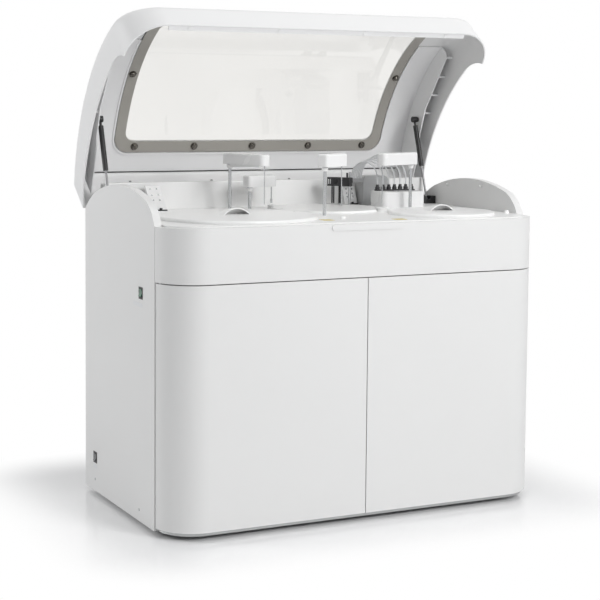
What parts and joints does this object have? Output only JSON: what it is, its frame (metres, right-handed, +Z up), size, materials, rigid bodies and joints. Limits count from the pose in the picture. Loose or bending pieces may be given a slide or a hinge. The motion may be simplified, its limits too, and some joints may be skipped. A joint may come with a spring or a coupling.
{
  "type": "chemistry analyzer",
  "caption": "Floor-standing clinical chemistry analyzer with wrap-round doors, a deck of probe arms and disc covers, and a crowned window hood held open on gas struts.",
  "frame": {"origin": "on the floor, under the middle of the whole machine with its hood open", "axes": "+X to the right seen from the front, -Y towards the person who works at it, +Z up"},
  "size_m": [1.2146, 0.8354, 1.4684],
  "materials": {
    "white_paint": "satin powder coat",
    "warm_white_plastic": "fine satin",
    "deck_white": "satin",
    "liner_grey": "satin",
    "window": "clear, slightly tinted",
    "clear_plastic": "clear",
    "arm_white": "semi-gloss",
    "optics_grey": "translucent grey",
    "bright_steel": "ground",
    "zinc_steel": "plated",
    "black_paint": "gloss",
    "black_plastic": "matt",
    "switch_green": "gloss",
    "switch_grey": "gloss",
    "rubber": "matt",
    "bottle_plastic": "satin",
    "container_plastic": "milky",
    "module_grey": "satin",
    "machined_aluminium": "machined"
  },
  "bodies": {
    "cabinet": {"left_side_panel": "white_paint", "right_side_panel": "white_paint", "base_frame": "zinc_steel", "levelling_feet": "rubber", "rear_panel": "white_paint", "upper_frame": "zinc_steel", "hinge_pins": "bright_steel", "front_fascia": "white_paint", "work_deck": "deck_white", "rear_deck_wall": "deck_white", "deck_guides": "bright_steel", "disc_tubs": "machined_aluminium", "fixed_disc_covers": "warm_white_plastic", "wash_cups": "warm_white_plastic", "reader_brackets": "arm_white", "reader_latches": "black_plastic", "tube_housing": "arm_white", "tube_connectors": "black_plastic", "clear_tubes": "clear_plastic", "optics_cover": "optics_grey", "equipment_shelf": "zinc_steel", "fluid_containers": "container_plastic", "pump_module": "module_grey", "strut_end_blocks": "black_plastic", "switch_bezels": "black_plastic"},
    "hood": {"hood_shell": "white_paint", "window_pane": "window", "hood_liner": "liner_grey", "hood_front_strip": "liner_grey", "hood_fasteners": "black_plastic", "hood_hinge_leaves": "bright_steel"},
    "left_cylinder": {"left_strut_cylinder": "black_paint"},
    "right_cylinder": {"right_strut_cylinder": "black_paint"},
    "left_rod": {"left_strut_rod": "bright_steel"},
    "right_rod": {"right_strut_rod": "bright_steel"},
    "left_door": {"left_door": "white_paint"},
    "right_door": {"right_door": "white_paint"},
    "wash_station": {"wash_station_block": "black_plastic", "wash_nozzles": "bright_steel"},
    "left_cover": {"left_disc_cover": "warm_white_plastic"},
    "right_cover": {"right_disc_cover": "warm_white_plastic"},
    "reagent_disc": {"reagent_carousel": "warm_white_plastic", "reagent_bottles": "bottle_plastic"},
    "reaction_disc": {"reaction_carousel": "clear_plastic"},
    "sample_disc": {"sample_carousel": "warm_white_plastic", "sample_tubes": "clear_plastic"},
    "upper_rocker": {"upper_rocker": "switch_green"},
    "lower_rocker": {"lower_rocker": "switch_grey"},
    "reagent_arm_left_lift": {"reagent_arm_left_pillar": "bright_steel"},
    "reagent_arm_left_swing": {"reagent_arm_left_head": "arm_white", "reagent_arm_left_probe": "bright_steel"},
    "mixer_arm_lift": {"mixer_arm_pillar": "bright_steel"},
    "mixer_arm_swing": {"mixer_arm_head": "arm_white", "mixer_arm_probe": "bright_steel"},
    "reagent_arm_middle_lift": {"reagent_arm_middle_pillar": "bright_steel"},
    "reagent_arm_middle_swing": {"reagent_arm_middle_head": "arm_white", "reagent_arm_middle_probe": "bright_steel"},
    "sample_arm_lift": {"sample_arm_pillar": "bright_steel"},
    "sample_arm_swing": {"sample_arm_head": "arm_white", "sample_arm_probe": "bright_steel"}
  },
  "joints": [
    {"name": "hood_hinge", "type": "hinge", "parent": "cabinet", "child": "hood", "pos_m": [0.00229, 0.29276, 0.847], "axis": [-1, 0, 0], "range_deg": [-52.2, 0], "stiffness_Nm_per_rad": 10, "springref_deg": 171.89},
    {"name": "left_strut_turn", "type": "hinge", "parent": "hood", "child": "left_cylinder", "pos_m": [-0.55471, 0.28687, 1.14174], "axis": [-1, 0, 0], "range_deg": [-11.33, 0.02]},
    {"name": "left_strut_slide", "type": "slide", "parent": "left_cylinder", "child": "left_rod", "axis": [0, -0.3142, -0.9494], "range_m": [-0.07296, 0.0002]},
    {"name": "right_strut_turn", "type": "hinge", "parent": "hood", "child": "right_cylinder", "pos_m": [0.55929, 0.28687, 1.14174], "axis": [-1, 0, 0], "range_deg": [-11.33, 0.02]},
    {"name": "right_strut_slide", "type": "slide", "parent": "right_cylinder", "child": "right_rod", "axis": [0, -0.3142, -0.9494], "range_m": [-0.07296, 0.0002]},
    {"name": "left_door_hinge", "type": "hinge", "parent": "cabinet", "child": "left_door", "pos_m": [-0.59071, -0.31474, 0.364], "axis": [0, 0, -1], "range_deg": [0, 100]},
    {"name": "right_door_hinge", "type": "hinge", "parent": "cabinet", "child": "right_door", "pos_m": [0.59529, -0.31474, 0.364], "axis": [0, 0, 1], "range_deg": [0, 100]},
    {"name": "reagent_arm_left_lift", "type": "slide", "parent": "cabinet", "child": "reagent_arm_left_lift", "axis": [0, 0, 1], "range_m": [-0.07, 0]},
    {"name": "reagent_arm_left_swing", "type": "hinge", "parent": "reagent_arm_left_lift", "child": "reagent_arm_left_swing", "pos_m": [-0.17871, 0.15526, 0.95], "axis": [0, 0, 1], "range_deg": [-48.53, 32.68]},
    {"name": "mixer_arm_lift", "type": "slide", "parent": "cabinet", "child": "mixer_arm_lift", "axis": [0, 0, 1], "range_m": [-0.045, 0]},
    {"name": "mixer_arm_swing", "type": "hinge", "parent": "mixer_arm_lift", "child": "mixer_arm_swing", "pos_m": [-0.11971, 0.13526, 0.95], "axis": [0, 0, 1], "range_deg": [-30.68, 0]},
    {"name": "reagent_arm_middle_lift", "type": "slide", "parent": "cabinet", "child": "reagent_arm_middle_lift", "axis": [0, 0, 1], "range_m": [-0.07, 0]},
    {"name": "reagent_arm_middle_swing", "type": "hinge", "parent": "reagent_arm_middle_lift", "child": "reagent_arm_middle_swing", "pos_m": [-0.00671, -0.15474, 0.95], "axis": [0, 0, 1], "range_deg": [0, 119.69]},
    {"name": "sample_arm_lift", "type": "slide", "parent": "cabinet", "child": "sample_arm_lift", "axis": [0, 0, 1], "range_m": [-0.07, 0]},
    {"name": "sample_arm_swing", "type": "hinge", "parent": "sample_arm_lift", "child": "sample_arm_swing", "pos_m": [0.36429, -0.02474, 0.95], "axis": [0, 0, 1], "range_deg": [-13.61, 30.26]},
    {"name": "wash_station_lift", "type": "slide", "parent": "cabinet", "child": "wash_station", "axis": [0, 0, 1], "range_m": [-0.05, 0]},
    {"name": "left_cover_lift_off", "type": "slide", "parent": "cabinet", "child": "left_cover", "axis": [0, 0, 1], "range_m": [0, 0.1]},
    {"name": "right_cover_lift_off", "type": "slide", "parent": "cabinet", "child": "right_cover", "axis": [0, 0, 1], "range_m": [0, 0.1]},
    {"name": "reagent_disc_turn", "type": "hinge", "parent": "cabinet", "child": "reagent_disc", "pos_m": [-0.29271, -0.15174, 0.78], "axis": [0, 0, 1], "continuous": true},
    {"name": "reaction_disc_turn", "type": "hinge", "parent": "cabinet", "child": "reaction_disc", "pos_m": [0.09729, 0.04026, 0.78], "axis": [0, 0, 1], "continuous": true},
    {"name": "sample_disc_turn", "type": "hinge", "parent": "cabinet", "child": "sample_disc", "pos_m": [0.35729, -0.22474, 0.78], "axis": [0, 0, 1], "continuous": true},
    {"name": "upper_rocker_tilt", "type": "hinge", "parent": "cabinet", "child": "upper_rocker", "pos_m": [-0.59671, -0.19474, 0.665], "axis": [0, 1, 0], "range_deg": [-12, 0]},
    {"name": "lower_rocker_tilt", "type": "hinge", "parent": "cabinet", "child": "lower_rocker", "pos_m": [-0.59671, 0.19526, 0.116], "axis": [0, 1, 0], "range_deg": [-12, 0]}
  ],
  "couplings": [
    {"joint": "left_strut_turn", "follows": "hood_hinge", "ratio": 0.21666},
    {"joint": "left_strut_slide", "follows": "hood_hinge", "m_per_rad": 0.079864},
    {"joint": "right_strut_turn", "follows": "hood_hinge", "ratio": 0.21666},
    {"joint": "right_strut_slide", "follows": "hood_hinge", "m_per_rad": 0.079864}
  ]
}
